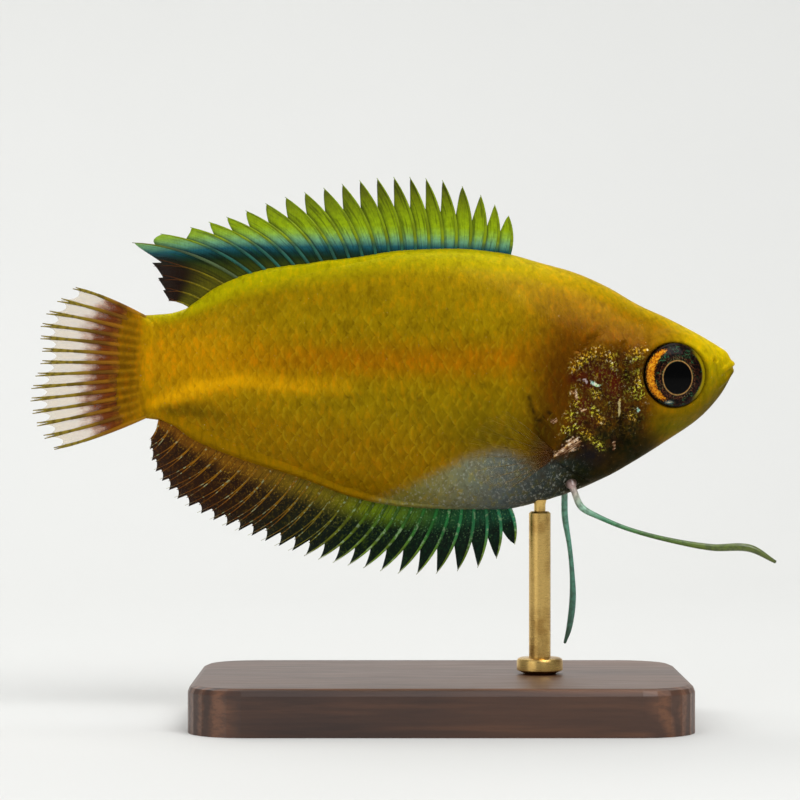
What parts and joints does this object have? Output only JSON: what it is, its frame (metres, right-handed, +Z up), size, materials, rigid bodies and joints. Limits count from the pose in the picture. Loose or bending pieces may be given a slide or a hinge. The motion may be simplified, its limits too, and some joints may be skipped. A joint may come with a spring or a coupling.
{
  "type": "honey gourami fish model on a display stand",
  "caption": "Life-size small deep-bodied aquarium fish with long spiny dorsal and anal fins, fan tail and thread-like pelvic fins, held level by a rod on a flat rounded base.",
  "frame": {"origin": "middle of the underside of the stand's base, on the surface it rests on", "axes": "+Z up, +X from the tail towards the fish's head along its level body, +Y to the fish's left"},
  "size_m": [0.0549, 0.024, 0.04],
  "materials": {
    "golden_skin": "wet, finely scaled golden skin with an orange-brown band along the side and a silver belly",
    "gill_cover_skin": "thin glossy skin with gold, cyan and maroon flecks",
    "eye": "wet cornea over a dark iris with an orange crescent and a thin gold ring round the pupil",
    "dorsal_fin": "ribbed membrane, yellow-green at the edge, then mint and blue towards its root",
    "anal_fin": "ribbed membrane, dark green in front and red-brown behind, with bright yellow rays",
    "clear_fin": "thin, nearly clear ribbed membrane with an orange-brown tint",
    "thread": "smooth thread, pale at its root, green in the middle and olive at the tip",
    "stand_wood": "dark satin wood",
    "stand_metal": "satin brass"
  },
  "bodies": {
    "root": {"head": "golden_skin", "trunk": "golden_skin", "tail_stem": "golden_skin", "gill_cover_right": "gill_cover_skin", "gill_cover_left": "gill_cover_skin", "eye_right": "eye", "eye_left": "eye", "dorsal_fin": "dorsal_fin", "anal_fin": "anal_fin", "caudal_fin": "clear_fin", "pectoral_fin_right": "clear_fin", "pectoral_fin_left": "clear_fin", "pelvic_thread_right": "thread", "pelvic_thread_left": "thread", "stand_base": "stand_wood", "stand_rod": "stand_metal"}
  },
  "joints": []
}
